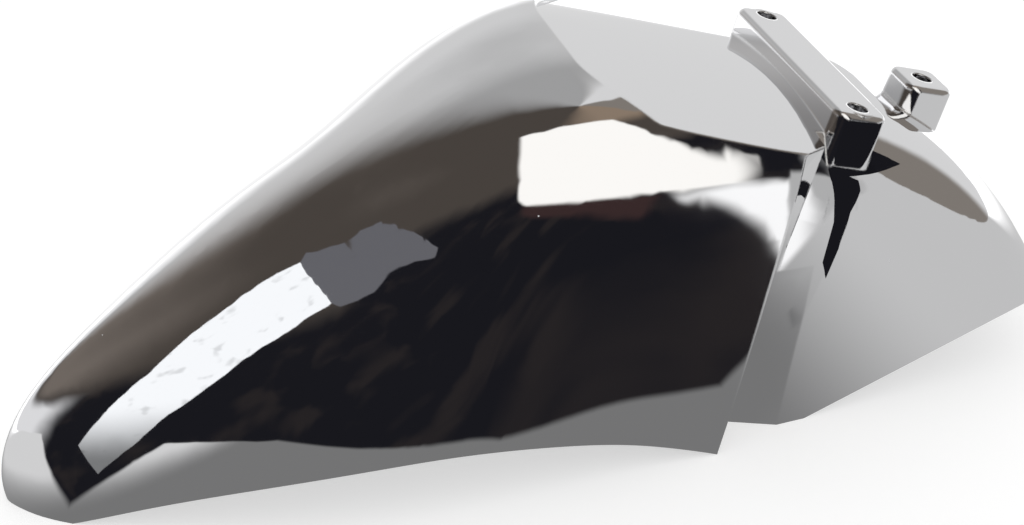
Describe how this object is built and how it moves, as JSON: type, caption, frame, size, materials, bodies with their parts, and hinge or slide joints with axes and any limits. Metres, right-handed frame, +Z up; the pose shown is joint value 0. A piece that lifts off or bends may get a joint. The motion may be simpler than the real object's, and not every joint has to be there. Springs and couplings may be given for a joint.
{
  "type": "motorcycle front mudguard",
  "caption": "Bright moulded front mudguard for a small-wheeled motorcycle, with deep side panels, a sunken fork seat with a raised bolt bar and lug, channels for the fork legs and a rounded tail.",
  "frame": {"origin": "middle of the footprint, on the surface that the guard stands on", "axes": "-X to the nose, which leads when riding, +X to the tail, +Y to the rider's right, +Z up"},
  "size_m": [0.5825, 0.1694, 0.2211],
  "materials": {
    "bright_plating": "mirror-bright plating on moulded plastic"
  },
  "bodies": {
    "root": {"front_mudguard": "bright_plating"}
  },
  "joints": []
}
